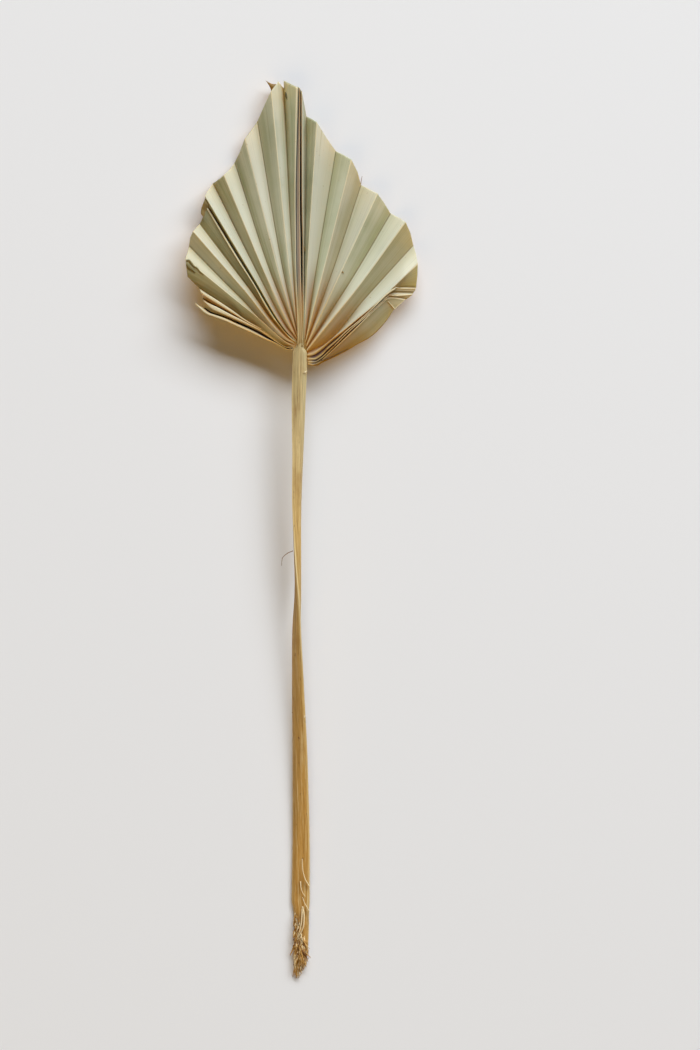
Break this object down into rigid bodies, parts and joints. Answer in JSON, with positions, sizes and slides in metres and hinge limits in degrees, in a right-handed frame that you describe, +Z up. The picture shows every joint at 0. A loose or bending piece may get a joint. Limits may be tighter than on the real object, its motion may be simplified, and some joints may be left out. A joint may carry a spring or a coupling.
{
  "type": "dried palm spear",
  "caption": "Dried pleated palm leaf trimmed to a spade shape, on its own flat twisted stalk with a frayed lower end, lying flat.",
  "frame": {"origin": "on the ground plane, under the middle of the spear's box", "axes": "+Y from the frayed end of the stalk to the tip of the leaf, +X to the right seen from above with the tip up, +Z up off the surface it lies on"},
  "size_m": [0.1158, 0.4506, 0.0181],
  "materials": {
    "dried_leaf": "dry, satin leaf with fine lengthwise fibres, cream ridges and olive valleys",
    "dried_stalk": "dry, fibrous straw-coloured stalk"
  },
  "bodies": {
    "root": {"leaf_fan": "dried_leaf", "stalk": "dried_stalk"}
  },
  "joints": []
}
